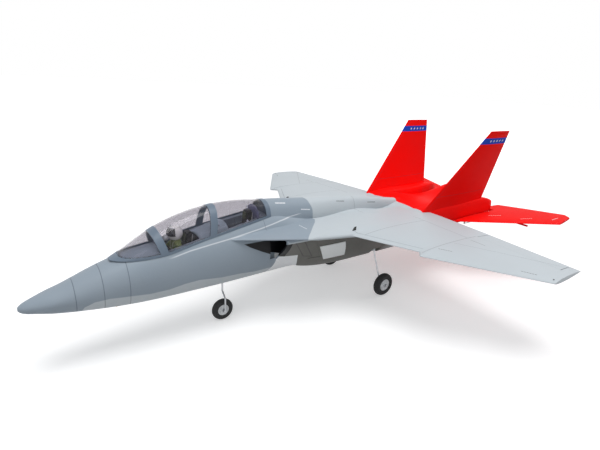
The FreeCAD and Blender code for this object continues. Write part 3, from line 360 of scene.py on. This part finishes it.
def grey_paint():
    graph = Graph("airframe_grey")
    x, s, z = graph.place()
    out = graph.math("ABSOLUTE", x)
    high = graph.past(z, TOP_FACES)
    top_edge, side_edge = graph.curve(out, TOP_EDGE), graph.curve(z, SIDE_EDGE)
    edge = side_edge + (top_edge - side_edge) * high
    dark = (1.0 - graph.past(s, edge, 0.8)) * graph.past(z, graph.curve(s, WAVE), 0.8)
    colour = graph.mix(dark, PALE, DARK)
    # painted shadow of the wing over the sides of the trunks and the wing's root underneath; ahead of it a sunlit area
    # is painted white, brighter than the pale paint, behind the dark paint
    below = 1.0 - graph.past(z, UNDER_WING, 1.0)
    sunlit_patch = graph.within(s - (z - 95.5) * -0.33, 340.0, 403.0, 0.8) * (1.0 - graph.past(z, 119.5, 0.8))
    wing_shadow = (below * graph.past(out, 40.0, 2.0) * graph.past(s, side_edge, 0.8)
              * (1.0 - graph.past(s, 640.0, 60.0)) * (1.0 - sunlit_patch) * graph.within(out, 0.0, 92.0, 4.0))
    # painted shadow: the trunks' sides under the wing turn warm dark grey
    colour = graph.mix(wing_shadow, colour, WING_SHADOW_GREY)
    # painted light: the sunlit area where the wing's shadow ends is painted white
    colour = graph.mix(sunlit_patch * below * graph.past(out, 30.0, 4.0) * graph.past(s, side_edge, 0.8), colour, WHITE)
    for start, end in (((378, 150), (407, 115)), ((407, 115), (427, 110)), ((427, 110), (395, 150))):
        colour = graph.mix(dash(graph, s, z, start, end, 1.6) * below * 0.7, colour, (0.03, 0.03, 0.028))
    # painted highlight: a light line along the fold below the canopy rail, where the rail's lower edge catches the
    # light
    rail_highlight = (graph.line(z, graph.curve(s, RAIL_HIGHLIGHT_LINE), 1.5, 0.9) * graph.within(s, 190.0, 420.0, 12.0)
              * (1.0 - graph.past(out, 37.0)))
    colour = graph.mix(rail_highlight * 0.55, colour, WHITE)
    facing = graph.inward()
    # painted shadow: the raked inlet under the strake and the duct's inside are painted near black
    throat = graph.within(s, 340.0, 480.0) * graph.within(z, 108.0, 151.5)
    inlet_shadow = graph.either(
        graph.within(s, 299.0, 372.0) * graph.past(z, graph.curve(s, INLET_SHADOW_EDGE), 0.8) * below * graph.past(out, 28.0),
        throat * (1.0 - graph.past(out, 46.0)) * graph.past(z, graph.curve(s, INLET_SHADOW_EDGE), 0.8),
        throat * graph.past(facing, 0.3, 0.1))
    lines = [graph.line(s, at, 0.9) for at in FRAME_LINES]
    # access panels ahead of the windscreen and below the rail, spine panel, and panels of the wing
    lines.append(graph.line(s, 345.0, 0.7) * graph.past(z, 150.0) * (1.0 - graph.past(out, 40.0)))
    lines.append(graph.line(s, 560.0, 0.7) * graph.past(z, 140.0) * (1.0 - graph.past(out, 40.0)))
    above = graph.within(s, 520.0, 664.0)
    lines.append(graph.line(out, 213.0, 0.8) * above)
    lines.append(graph.line(s, 640.0, 0.8) * graph.within(out, 95.0, 213.0))
    lines.append(graph.line(s - out * 0.66, 452.0, 0.8) * graph.within(out, 217.0, 362.0))
    lines.append(graph.line(s - out * 0.54, 422.0, 0.8) * graph.within(out, 100.0, 204.0))
    lines.append(graph.line(out, 120.0, 0.7) * graph.within(s, 487.0, 640.0))
    seams = graph.either(*lines)

    white = graph.either(
        dash(graph, s, z, (375.5, 200.9), (395.5, 198.5), 1.5, 7),
        dash(graph, s, z, (425.0, 185.2), (445.0, 182.1), 1.5, 7),
        dash(graph, out, s, (44.0, 404.5), (64.0, 406.5), 1.2, 6) * high)
    ink = graph.either(
        dash(graph, out, s, (220.0, 637.2), (247.0, 638.4), 1.1, 9) * high,
        dash(graph, s, z, (513.0, 187.2), (533.5, 184.4), 1.4, 7),
        dash(graph, s, z, (598.0, 174.2), (621.0, 171.4), 1.4, 7),
        dash(graph, x, s, (218.3, 551.2), (235.9, 563.1), 1.2, 6) * high,
        dash(graph, out, s, (325.9, 601.9), (344.8, 612.6), 1.3, 6))
    colour = graph.mix(white * 0.9, colour, WHITE)
    colour = graph.mix(ink * 0.85, colour, INK)
    foam_finish(graph, colour, seams, painted_shadow=inlet_shadow)
    return graph.material


def red_paint():
    graph = Graph("airframe_red")
    x, s, z = graph.place()
    out = graph.math("ABSOLUTE", x)
    fin = graph.past(z, 171.0)
    lead = (z - 166.0) * 0.9097 + 690.0
    band = graph.within(z, 294.5, 307.0)
    # five stars along the band
    pitch, first, size = 11.5, 839.0, 3.3
    run = s - (z - 300.75) * 0.45 - (first - pitch / 2)
    inside = graph.within(run, 0.0, pitch * 5)
    local = graph.math("FRACT", run * (1 / pitch)) * pitch - pitch / 2
    rise = z - 300.75
    reach = graph.math("SQRT", local * local + rise * rise)
    turn = graph.math("ARCTAN2", local, rise)
    fifth = 2 * math.pi / 5
    near = graph.math("ABSOLUTE", graph.math("FRACT", turn * (1 / fifth) + 10.5) * fifth - fifth / 2)
    star = 1.0 - graph.past(reach * graph.math("COSINE", near - fifth), size * math.cos(fifth), 0.18)
    colour = graph.mix(band, RED, BLUE)
    colour = graph.mix(band * star * inside, colour, WHITE)
    deck = (1.0 - fin) * graph.past(z, 130.0)
    dashes = graph.either(
        dash(graph, out, s, (114.0, 878.0), (129.8, 904.0), 1.3, 6),
        dash(graph, out, s, (167.5, 914.0), (179.8, 941.6), 1.3, 6),
        dash(graph, out, s, (209.7, 968.5), (208.8, 999.4), 1.3, 0)) * (1.0 - fin)
    colour = graph.mix(dashes * 0.9, colour, WHITE)
    lines = [graph.line(s - lead, 8.0, 0.9) * fin,
             graph.line(s, 760.0, 0.8) * deck * (1.0 - graph.past(out, 66.0)),
             graph.line(s, 866.0, 0.8) * deck * (1.0 - graph.past(out, 80.0)),
             graph.line(z, 190.0, 0.8) * graph.within(s, 715.0, 889.0)]
    seams = graph.either(*lines)
    foam_finish(graph, colour, seams * 0.6, 0.45, 0.03, veil=0.008)
    return graph.material


def dress(material, *nodes):
    for name in nodes:
        slots = NODES[name].data.materials
        slots.clear()
        slots.append(material)


GREY, SCARLET = grey_paint(), red_paint()
dress(GREY, "nose_cone", "forward_fuselage", "centre_fuselage", "wing_left", "wing_right", "aileron_left",
      "aileron_right")
dress(SCARLET, "rear_fuselage", "fin_left", "fin_right", "stabilator_left", "stabilator_right")


# ---------------------------------------------------------------- the other finishes
def plain(name, colour, rough, metal=0.0, grain=900.0, depth=0.00015, vary=0.12, stretch=None, **extra):
    graph = Graph(name)
    speck = graph.noise(grain, 3.0, 0.55, stretch)
    cloud = graph.noise(35.0, 3.0)
    shade = graph.mix(cloud * vary, colour, tuple(min(1.0, c * 1.6 + 0.03) for c in colour))
    shade = graph.mix(graph.past(speck, 0.6, 0.4) * vary, shade, tuple(c * 0.55 for c in colour))
    graph.set(Base_Color=shade, Metallic=metal)
    for key, value in extra.items():
        graph.feed(graph.shader.inputs[key.replace("_", " ")], value)
    graph.feed(graph.shader.inputs["Roughness"], speck * 0.12 + cloud * 0.08 + (rough - 0.1))
    graph.feed(graph.shader.inputs["Normal"], graph.bump(speck, 0.4, depth))
    return graph.material


def clear_glass():
    graph = Graph("canopy_clear")
    graph.set(Base_Color=(0.62, 0.605, 0.635), IOR=1.25, Metallic=0.0, Roughness=0.0)
    graph.shader.inputs["Transmission Weight"].default_value = 1.0
    return graph.material


def wood():
    graph = Graph("birch_ply")
    grain = graph.noise(60.0, 4.0, 0.6, (30.0, 2.0, 8.0))
    shade = graph.mix(grain, linear(196, 160, 112), linear(226, 198, 150))
    graph.set(Base_Color=shade)
    graph.feed(graph.shader.inputs["Roughness"], grain * 0.2 + 0.5)
    graph.feed(graph.shader.inputs["Normal"], graph.bump(grain, 0.3, 0.0003))
    return graph.material


def canopy_paint():
    graph = Graph("canopy_frame_paint")
    fine = graph.noise(1400.0, 3.0)
    cloud = graph.noise(20.0, 3.0)
    shade = graph.mix(cloud * 0.3, linear(98, 113, 129), linear(116, 131, 146))
    graph.set(Base_Color=shade)
    graph.feed(graph.shader.inputs["Roughness"], fine * 0.1 + 0.34)
    graph.feed(graph.shader.inputs["Normal"], graph.bump(fine, 0.3, 0.0001))
    return graph.material


def cockpit_paint():
    """Blue-grey along the sills, darker towards the floor."""
    graph = Graph("cockpit_grey")
    s, z = graph.place()[1:]
    fine = graph.noise(1400.0, 3.0)
    depth = graph.curve(s, ((112, 146.5), (160, 151), (200, 155.8), (262, 167.9), (300, 173.9), (350, 182))) - z
    low = graph.past(depth, 15.0, 9.0)
    shade = graph.mix(low, linear(134, 145, 160), linear(58, 60, 70))
    shade = graph.mix(graph.past(fine, 0.6, 0.3) * 0.15, shade, linear(96, 102, 112))
    ribs = graph.line(graph.math("FRACT", s * (1 / 17.0)) * 17.0, 8.5, 0.8) * graph.past(depth, 3.0, 1.0)
    shade = graph.mix(ribs * 0.4, shade, linear(70, 76, 86))
    graph.set(Base_Color=shade)
    graph.feed(graph.shader.inputs["Roughness"], fine * 0.12 + 0.5)
    graph.feed(graph.shader.inputs["Normal"], graph.bump(fine * 0.1 - ribs * 0.6, 0.4, 0.0005))
    return graph.material


def rod_paint():
    """Bare carbon near the body and red farther out, where the rod comes out of the tail surface's underside."""
    graph = Graph("carbon_rod_painted_end")
    x = graph.place()[0]
    outer = graph.past(graph.math("ABSOLUTE", x), 76.0, 1.0)
    graph.set(Base_Color=graph.mix(outer, (0.03, 0.03, 0.032), RED), Roughness=0.45, IOR=1.4)
    return graph.material


GLASS = clear_glass()
PLY = wood()
CANOPY = canopy_paint()
BLACK = plain("black_moulding", (0.022, 0.022, 0.024), 0.45)
COCKPIT = cockpit_paint()
SEAT = plain("seat_black", linear(38, 40, 44), 0.62)
CUSHION = plain("seat_cushion", linear(72, 78, 62), 0.85, grain=2600.0, depth=0.0003, vary=0.25)
SUIT = plain("flying_suit", linear(118, 132, 78), 0.8, grain=2200.0, depth=0.0004, vary=0.3)
HELMET = plain("helmet_white", linear(238, 238, 236), 0.22, vary=0.04, Coat_Weight=0.5)
VISOR = plain("visor_dark", linear(28, 30, 40), 0.08, vary=0.05, Coat_Weight=1.0)
MASK = plain("mask_grey", linear(190, 194, 198), 0.5)
HARNESS = plain("harness_webbing", linear(168, 172, 150), 0.85, grain=3000.0, depth=0.0003, vary=0.3)
TYRE = plain("tyre_foam_rubber", (0.016, 0.016, 0.017), 0.82, grain=1800.0, depth=0.0005, vary=0.25)
HUB = plain("hub_white", linear(228, 230, 232), 0.35, vary=0.05)
STEEL = plain("spring_wire", (0.42, 0.43, 0.45), 0.32, metal=1.0, stretch=(1, 1, 6), vary=0.2)
ZINC = plain("zinc_screw", (0.55, 0.55, 0.57), 0.35, metal=1.0, vary=0.15)
ALLOY = plain("motor_alloy", (0.72, 0.73, 0.75), 0.3, metal=1.0, stretch=(1, 12, 1), vary=0.1)
TUBE = plain("exhaust_film", linear(214, 217, 220), 0.3, vary=0.08)
WRAP = plain("battery_wrap", linear(34, 58, 132), 0.28, vary=0.1)
NYLON = plain("white_nylon", linear(226, 226, 220), 0.45, vary=0.06)
CARBON = plain("carbon_rod", (0.03, 0.03, 0.032), 0.35, grain=2400.0, vary=0.4)
NOZZLE = plain("nozzle_grey", linear(58, 60, 64), 0.4, metal=0.6, vary=0.2)
# painted light: the gear doors are painted near white, brighter than the pale paint, to stand in for sunlight on them
SUNLIT_DOOR = plain("door_paint_with_painted_sunlight", linear(240, 243, 243), 0.42, vary=0.05)
DECK = plain("coaming_grey", linear(152, 166, 180), 0.5, vary=0.1)
INDIGO = plain("bulkhead_indigo", linear(96, 98, 132), 0.6, vary=0.15)
STRAP = plain("brace_lilac", linear(186, 188, 206), 0.5, vary=0.08)
DIAL = plain("dial_face", linear(20, 22, 24), 0.15, vary=0.1)
SCREEN = plain("screen_glass", linear(34, 58, 54), 0.1, vary=0.1)
RUBBER = plain("hose_rubber", linear(52, 54, 52), 0.7, grain=2200.0, vary=0.2)

dress(GLASS, "canopy_glass")
dress(PLY, "battery_tray", "nose_gear_block", "main_gear_blocks")
dress(CANOPY, "canopy_frame")
dress(BLACK, "fan_housing", "fan_rotor", "speed_controller", "receiver", "servo_cases")
dress(COCKPIT, "cockpit_tub", "instrument_hoods")
dress(SEAT, "ejection_seats")
dress(SUIT, "pilot_torso")
dress(HELMET, "pilot_helmet")
dress(TYRE, "nose_tyre", "main_tyre_left", "main_tyre_right")
dress(HUB, "nose_wheel_hub", "main_wheel_hub_left", "main_wheel_hub_right")
dress(STEEL, "nose_gear_leg", "main_gear_legs", "aileron_pushrod_left", "aileron_pushrod_right",
      "stabilator_pushrod_left", "stabilator_pushrod_right", "steering_pushrod")
dress(ZINC, "screws")
dress(ALLOY, "motor_case")
dress(TUBE, "exhaust_tube")
dress(WRAP, "battery")
dress(NYLON, "aileron_servo_arm_left", "aileron_servo_arm_right", "stabilator_servo_arm_left",
      "stabilator_servo_arm_right", "steering_servo_arm", "steering_arm", "aileron_horn_left",
      "aileron_horn_right", "pivot_bushes")
dress(CARBON, "wing_spar")
dress(rod_paint(), "pivot_rod_left", "pivot_rod_right")
dress(NOZZLE, "nozzle_ring")
dress(SUNLIT_DOOR, "gear_doors")

# ---------------------------------------------------------------- pieces made here
def finish_piece(name, mesh, material, body, subdivide=0, bevel=0.0):
    piece = bpy.data.objects.new(name, mesh)
    scene.collection.objects.link(piece)
    mesh.materials.append(material)
    for face in mesh.polygons:
        face.use_smooth = True
    if bevel:
        edge = piece.modifiers.new("edge", "BEVEL")
        edge.width, edge.segments, edge.limit_method = bevel, 3, "ANGLE"
    if subdivide:
        soft = piece.modifiers.new("soft", "SUBSURF")
        soft.levels = soft.render_levels = subdivide
    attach(piece, body)
    return piece


def skin(name, rings, material, body, closed=True, caps=True, **extra):
    """A surface through rings of the same number of points, all in metres."""
    form = bmesh.new()
    rows = [[form.verts.new(point) for point in ring] for ring in rings]
    count = len(rows[0])
    for low, high in zip(rows, rows[1:]):
        for i in range(count if closed else count - 1):
            j = (i + 1) % count
            form.faces.new((low[i], low[j], high[j], high[i]))
    if closed and caps:
        form.faces.new(list(reversed(rows[0])))
        form.faces.new(rows[-1])
    bmesh.ops.recalc_face_normals(form, faces=form.faces)
    mesh = bpy.data.meshes.new(name)
    form.to_mesh(mesh)
    form.free()
    return finish_piece(name, mesh, material, body, **extra)


def run_of(name, points, radii, material, body, sides=12, **extra):
    """A round rod through the points, with a radius at each."""
    rings = []
    for i, point in enumerate(points):
        ahead = (points[min(i + 1, len(points) - 1)] - points[max(i - 1, 0)]).normalized()
        side = ahead.cross(Vector((0.31, 0.22, 0.92))).normalized()
        up = side.cross(ahead)
        radius = radii[i] if isinstance(radii, (tuple, list)) else radii
        rings.append([point + (side * math.cos(t) + up * math.sin(t)) * radius
                      for t in (2 * math.pi * k / sides for k in range(sides))])
    return skin(name, rings, material, body, **extra)


def arc_through(points, steps=6):
    """Points along a smooth curve through the given ones."""
    out = []
    for i in range(len(points) - 1):
        a, b = points[max(i - 1, 0)], points[i]
        c, d = points[i + 1], points[min(i + 2, len(points) - 1)]
        for k in range(steps):
            t = k / steps
            out.append(0.5 * ((2 * b) + (c - a) * t + (2 * a - 5 * b + 4 * c - d) * t * t
                              + (3 * b - a - 3 * c + d) * t ** 3))
    return out + [points[-1]]


def pad(name, centre, size, lean, material, body, puff=0.12):
    """A crowned cushion, wider in its middle than at its rim, leaning back by an angle."""
    wide, deep, tall = size
    rings = []
    for step in range(-4, 5):
        level = step / 4
        swell = 1 - 0.16 * abs(level) ** 5
        ring = []
        for k in range(20):
            t = 2 * math.pi * k / 20
            u = math.copysign(abs(math.cos(t)) ** 0.45, math.cos(t))
            v = math.copysign(abs(math.sin(t)) ** 0.45, math.sin(t))
            bulge = 1 + puff * (1 - u * u) * (1 - level * level)
            ring.append(Vector((u * wide / 2 * swell, v * deep / 2 * swell * bulge, level * tall / 2)))
        rings.append(ring)
    turn = Matrix.Rotation(lean, 3, "X")
    return skin(name, [[centre + turn @ p for p in ring] for ring in rings], material, body, subdivide=1)


HATCH = "canopy_hatch"
AIRFRAME = "airframe"
RAIL = ((112, 146.5), (160, 151.1), (200, 155.8), (225, 160.7), (262, 167.9), (300, 173.9), (335, 179.6), (350, 182))
TUB_HALF = ((112, 13.0), (130, 19.0), (160, 25.3), (200, 28.4), (225, 27.2), (262, 26.3), (300, 25.2), (335, 23.3),
            (350, 22.4))
TUB_FLOOR = 127.5          # height that the trim of the cockpit stays above


def read(table, at):
    for (a, low), (b, high) in zip(table, table[1:]):
        if at <= b:
            return low + (high - low) * max(0.0, (at - a) / (b - a))
    return table[-1][1]


def coaming(name, start, end, bulge, lip, material):
    """The curved deck over an instrument panel: it arches across the tub and turns down at its rear edge."""
    rings = []
    across = [k / 12 - 1 for k in range(25)]
    for share in [k / 10 for k in range(11)]:
        at = start + (end - start) * share
        half = read(TUB_HALF, at) - 2.6
        base = read(RAIL, at) - 1.6
        swell = bulge * min(1.0, 0.35 + share * 1.4)
        rings.append([spot(u * half, at, base + swell * (1 - abs(u) ** 2.6)) for u in across])
    half, base = read(TUB_HALF, end) - 2.6, read(RAIL, end) - 1.6
    for drop, back in ((0.8, 1.4), (2.6, 1.8), (lip, 0.2)):
        rings.append([spot(u * half, end + back, max(base + bulge * (1 - abs(u) ** 2.6) - drop, TUB_FLOOR))
                      for u in across])
    piece = skin(name, rings, material, HATCH, closed=False)
    wall = piece.modifiers.new("wall", "SOLIDIFY")
    wall.thickness, wall.offset = 0.0012, -1
    return piece


coaming("front_coaming", 116, 176, 8.0, 9.0, DECK)
coaming("rear_coaming", 238, 284, 11.0, 12.0, DECK)

# instrument panels under the coamings, each with a screen and a row of round dials
for label, at, low, high, half in (("front", 176.6, 134.0, 155.0, 15.0), ("rear", 284.6, 146.0, 172.0, 14.0)):
    outline = [(-half, low), (half, low), (half * 1.1, high - 3), (half * 0.8, high), (-half * 0.8, high),
               (-half * 1.1, high - 3)]
    skin(label + "_panel", [[spot(x, at, z) for x, z in outline], [spot(x, at + 1.6, z) for x, z in outline]],
         BLACK, HATCH, bevel=0.0004)
    middle = (low + high) / 2
    for k, (x, z, radius) in enumerate(((-9.5, middle + 4, 2.6), (9.5, middle + 4, 2.6), (-9.5, middle - 3, 2.2),
                                        (9.5, middle - 3, 2.2), (0, middle + 1, 4.6))):
        rim = []
        for back, grow in ((1.5, 1.0), (2.2, 1.0), (2.3, 0.86), (2.0, 0.8)):
            rim.append([spot(x + radius * grow * math.cos(t), at + back, z + radius * grow * math.sin(t))
                        for t in (2 * math.pi * i / 20 for i in range(20))])
        skin("%s_dial_%d" % (label, k), rim, SCREEN if k == 4 else DIAL, HATCH)

# wall behind the rear seat, with its slanting brace
bulkhead = []
for at, inset in ((338.0, 1.0), (339.4, 0.0), (341.0, 0.6)):
    ring = []
    for k in range(28):
        t = math.pi * k / 27
        ring.append(spot((20.5 - inset) * math.cos(t), at, 180.5 + (19.5 - inset) * math.sin(t) ** 0.9))
    ring += [spot(-19.0 + inset, at, 168.0), spot(19.0 - inset, at, 168.0)]
    bulkhead.append(ring)
skin("rear_bulkhead", bulkhead, INDIGO, HATCH)
run_of("bulkhead_brace", arc_through([spot(-15, 337.5, 194), spot(-4, 333, 186), spot(8, 326, 177),
                                      spot(17, 318, 171)], 4), 0.0011, STRAP, HATCH)

# cushions, head pads and side rails of the two seats
for label, at, top in (("front", 202.5, 170.0), ("rear", 306.0, 190.0)):
    lean = -math.atan2(6.0, top - 126)
    pad(label + "_head_pad", spot(0, at + 18.4, top - 7), (0.0098, 0.0042, 0.012), lean, CUSHION, HATCH)
    if label == "rear":
        pad("rear_back_cushion", spot(0, at + 15.2, 152), (0.0142, 0.0042, 0.022), lean, CUSHION, HATCH)
        pad("rear_seat_cushion", spot(0, at + 8, 141.2), (0.0142, 0.0145, 0.0036), 0, CUSHION, HATCH)
    for side in (-1, 1):
        run_of("%s_seat_rail_%s" % (label, "left" if side > 0 else "right"),
               [spot(side * 7.6, at + 22.6, 128), spot(side * 7.6, at + 26.4, 150),
                spot(side * 7.4, at + 28.4, top - 2)],
               0.9 / 1000, ALLOY, HATCH)

# the pilot figure: visor, mask and hose, collar, arms and harness
CROWN = 0.0115             # from the middle of the head to the top of the helmet
helmet_low, helmet_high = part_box("pilot_helmet")
head = Vector(((helmet_low.x + helmet_high.x) / 2, (helmet_low.y + helmet_high.y) / 2, helmet_high.z - CROWN))


def around_head(azimuth, elevation, reach):
    """A point about the head; azimuth 0 looks forward."""
    return head + Vector((math.sin(azimuth) * math.cos(elevation), -math.cos(azimuth) * math.cos(elevation),
                          math.sin(elevation))) * reach


visor = []
for i in range(13):
    elevation = math.radians(-6 + 58 * i / 12)
    reach = 0.01205 + 0.0004 * math.sin(math.pi * i / 12)
    visor.append([around_head(math.radians(-74 + 148 * j / 24), elevation, reach) for j in range(25)])
shield = skin("pilot_visor", visor, VISOR, HATCH, closed=False)
wall = shield.modifiers.new("wall", "SOLIDIFY")
wall.thickness, wall.offset = 0.0007, 1
run_of("visor_rim", arc_through([around_head(math.radians(-76 + 152 * j / 8), math.radians(52), 0.0123)
                                 for j in range(9)], 3), 0.0006, MASK, HATCH, sides=8)
mask = []
for i in range(9):
    t = math.pi * i / 8
    centre = head + Vector((0, -0.0105 - 0.0016 * (1 - math.cos(t)), -0.0052))
    mask.append([centre + Vector((0.0046 * math.sin(t) ** 0.6 * math.cos(a), -0.0026 * (1 - math.cos(t)),
                                  0.0042 * math.sin(t) ** 0.6 * math.sin(a)))
                 for a in (2 * math.pi * k / 16 for k in range(16))])
skin("oxygen_mask", mask[1:-1], MASK, HATCH)
run_of("mask_hose", arc_through([head + Vector((0, -0.0150, -0.0070)), head + Vector((0.002, -0.0165, -0.0125)),
                                 head + Vector((0.005, -0.0125, -0.0185)),
                                 head + Vector((0.0075, -0.0075, -0.0235))], 5),
       0.0013, RUBBER, HATCH, sides=10)
collar = []
for z, half, deep in ((161.0, 6.4, 6.0), (162.8, 7.4, 7.0), (164.6, 7.2, 6.8), (165.4, 5.8, 5.4)):
    collar.append([spot(half * math.cos(t), 208 + deep * math.sin(t), z)
                   for t in (2 * math.pi * k / 20 for k in range(20))])
skin("pilot_collar", collar, SUIT, HATCH)
for side, label in ((1, "left"), (-1, "right")):
    arm = arc_through([spot(side * 10.6, 208.5, 157.5), spot(side * 14.2, 206.5, 153.0),
                       spot(side * 15.6, 200.5, 147.0), spot(side * 11.0, 192.5, 146.0),
                       spot(side * 6.0, 187.5, 148.5)], 5)
    count = len(arm)
    run_of("pilot_arm_" + label, arm, [(0.0040 - 0.0014 * i / count) for i in range(count)], SUIT, HATCH, sides=14)
    glove = arc_through([spot(side * 6.4, 188.0, 148.3), spot(side * 4.0, 185.6, 149.6),
                         spot(side * 2.4, 184.4, 151.2)], 4)
    run_of("pilot_glove_" + label, glove, [0.0025, 0.0029, 0.0030, 0.0029, 0.0029, 0.0028, 0.0026, 0.0022, 0.0012],
           BLACK, HATCH, sides=12)
    # webbing over the shoulder and down the chest
    belt = arc_through([spot(side * 4.6, 215.6, 158.0), spot(side * 4.8, 211.5, 163.4), spot(side * 5.4, 206.0, 163.2),
                        spot(side * 5.2, 201.6, 158.5), spot(side * 3.8, 200.4, 151.0),
                        spot(side * 1.2, 200.2, 145.5)], 5)
    rows = []
    for i, point in enumerate(belt):
        ahead = (belt[min(i + 1, len(belt) - 1)] - belt[max(i - 1, 0)]).normalized()
        across = Vector((1, 0, 0)) - ahead * ahead.x
        across.normalize()
        rows.append([point - across * 0.0012, point + across * 0.0012])
    strap = skin("harness_" + label, rows, HARNESS, HATCH, closed=False)
    wall = strap.modifiers.new("wall", "SOLIDIFY")
    wall.thickness, wall.offset = 0.0005, 0
run_of("control_stick", [spot(0, 190, 128), spot(0, 187.5, 140), spot(0, 186, 150), spot(0, 185.6, 153)],
       [0.0011, 0.0010, 0.0013, 0.0008], BLACK, HATCH)

# small parts on the wing: a vane at the kink of the leading edge and a light near the tip
for side, label in ((1, "left"), (-1, "right")):
    vane = []
    for z, front, back, half in ((160.5, 473.0, 482.5, 0.9), (164.0, 474.5, 482.8, 0.9), (169.0, 477.5, 483.2, 0.7),
                                 (170.2, 479.0, 483.2, 0.35)):
        middle = (front + back) / 2
        vane.append([spot(side * 101.5 + half * bulge, at, z)
                     for at, bulge in ((front, 0), (middle, 1), (back, 0.5), (back, -0.5), (middle, -1))])
    skin("wing_vane_" + label, vane, RUBBER, AIRFRAME)
    pad("tip_light_" + label, spot(side * 364.6, 620.6, 152.6), (0.0018, 0.0018, 0.0013), 0, DIAL, AIRFRAME)

scene.view_settings.view_transform = "Standard"
